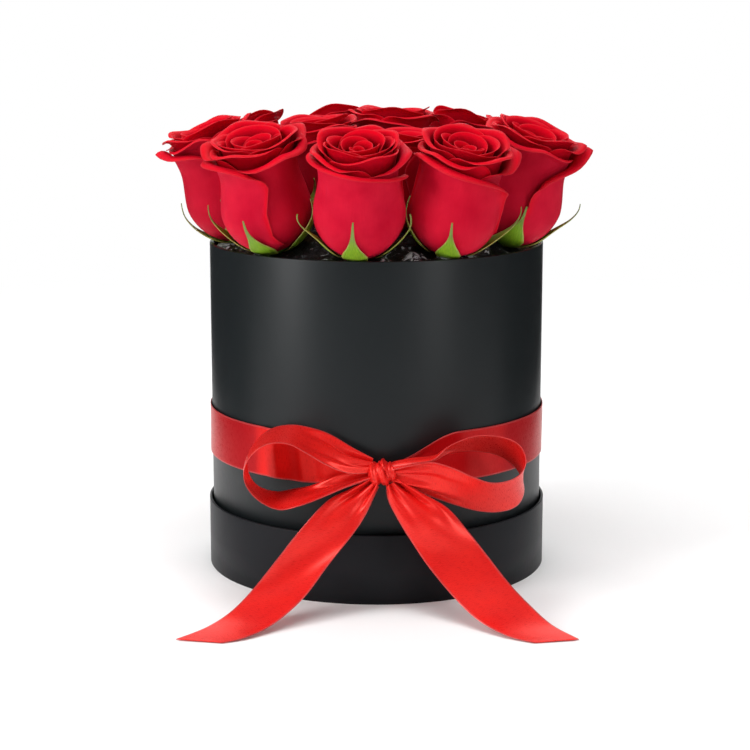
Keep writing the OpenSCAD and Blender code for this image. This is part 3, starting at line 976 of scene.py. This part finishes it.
def stage():
    """Plain pale floor that curves up into a backdrop far behind."""
    bend, curve = 1.5, 1.0
    profile = [(-4, 0), (0, 0), (bend, 0)]
    profile += [(bend + curve * math.sin(a), curve - curve * math.cos(a))
                for a in np.linspace(0.1, math.pi / 2, 12)]
    profile += [(bend + curve, 4)]
    y, z = np.array(profile).T
    x = np.linspace(-4, 4, 3)[None]
    points = np.stack(np.broadcast_arrays(x, y[:, None], z[:, None]), -1) / MM
    sweep = Mesh()
    sweep.grid(points)
    look = Look("pale_floor", Roughness=0.9)
    grain = look.noise(look.position(), 3.0, 2)
    look.feed("Base Color", look.ramp(grain, (0.3, (0.92, 0.92, 0.92)), (0.7, (0.94, 0.94, 0.94))))
    sweep.made("floor", look.material)


# Distances from the middle of the floor, in metres, where the white shell starts to show and where
# it is whole; its height over the floor; and the radius of the curve in which it rises
HAZE_START = 0.35
HAZE_WHOLE = 1.1
HAZE_HEIGHT = 0.0003
HAZE_CURVE = 0.9


def haze():
    """A white shell round the set that fades in over the floor well away from the object and rises
    all round, so that every side has a white surround. Only the camera sees it, so it lights
    nothing and casts nothing."""
    foot = 1.45
    profile = [(r, HAZE_HEIGHT) for r in (HAZE_START, 0.7, HAZE_WHOLE, foot)]
    profile += [(foot + HAZE_CURVE * math.sin(a), HAZE_CURVE - HAZE_CURVE * math.cos(a))
                for a in np.linspace(0.15, math.pi / 2, 10)]
    profile += [(foot + HAZE_CURVE, 3.8)]
    shell = Mesh()
    shell.grid(turned(np.array(profile) / MM, 96), around=True)
    look = Look("white_haze", Roughness=1.0, Specular_IOR_Level=0.0, Base_Color=(0, 0, 0, 1),
                Emission_Color=(1, 1, 1, 1), Emission_Strength=1.0)
    away = look.node("VectorMath", {0: look.position()}, operation="LENGTH").outputs["Value"]
    fade = look.node("MapRange", {"Value": away, "From Min": HAZE_START, "From Max": HAZE_WHOLE},
                     interpolation_type="SMOOTHSTEP")
    look.feed("Alpha", fade.outputs["Result"])
    made = shell.made("haze", look.material)
    made.visible_diffuse = made.visible_glossy = made.visible_shadow = False
    made.visible_transmission = False


def side_boards():
    """Dark boards beside and behind the box, which only its glossy surfaces see, so that its edges
    stay dark against the pale room."""
    front, back, top, beside = -0.05, 0.7, 0.6, 0.30
    y, z = np.meshgrid((front, back), (0, top))
    for name, x in (("dark_board_left", -beside), ("dark_board_right", beside)):
        board = Mesh()
        board.grid(np.stack([np.full(y.shape, x), y, z], -1) / MM)
        look = Look(name, Roughness=0.9, Base_Color=(0.015, 0.015, 0.016, 1))
        made = board.made(name, look.material)
        made.visible_camera = made.visible_diffuse = made.visible_shadow = False
        made.visible_transmission = False


def area_light(name, place, target, size, power):
    """A soft box that faces the target, of a width and a height."""
    data = bpy.data.lights.new(name, "AREA")
    data.shape, data.size, data.size_y = "RECTANGLE", *size
    data.energy = power
    made = bpy.data.objects.new(name, data)
    made.location = place
    aim = Vector(target) - Vector(place)
    made.rotation_euler = aim.to_track_quat("-Z", "Y").to_euler()
    bpy.context.scene.collection.objects.link(made)
    return made


def lights():
    """Large soft boxes left and right of the camera and overhead, one that whitens the backdrop, and
    a dim white room. Powers are in watts."""
    middle = (0, 0, 0.12)
    area_light("key_left", (-1.30, -0.80, 0.70), middle, (0.50, 1.2), 19.5)
    area_light("fill_right", (0.95, -1.15, 0.60), middle, (0.40, 1.0), 6.8)
    overhead = area_light("overhead", (0, -0.30, 1.5), middle, (1.2, 0.9), 15)
    overhead.visible_glossy = False
    area_light("backdrop", (0, 1.5, 1.9), (0, 2.0, 0), (2.6, 0.8), 34)
    world = bpy.data.worlds.new("room")
    world.use_nodes = True
    background = world.node_tree.nodes["Background"]
    background.inputs["Color"].default_value = (1, 1, 1, 1)
    background.inputs["Strength"].default_value = 0.16
    bpy.context.scene.world = world
    bpy.context.scene.view_settings.view_transform = "Standard"


camera()
stage()
haze()
side_boards()
lights()
boards()
band()
loops()
tails()
knot()
insert()
roses()
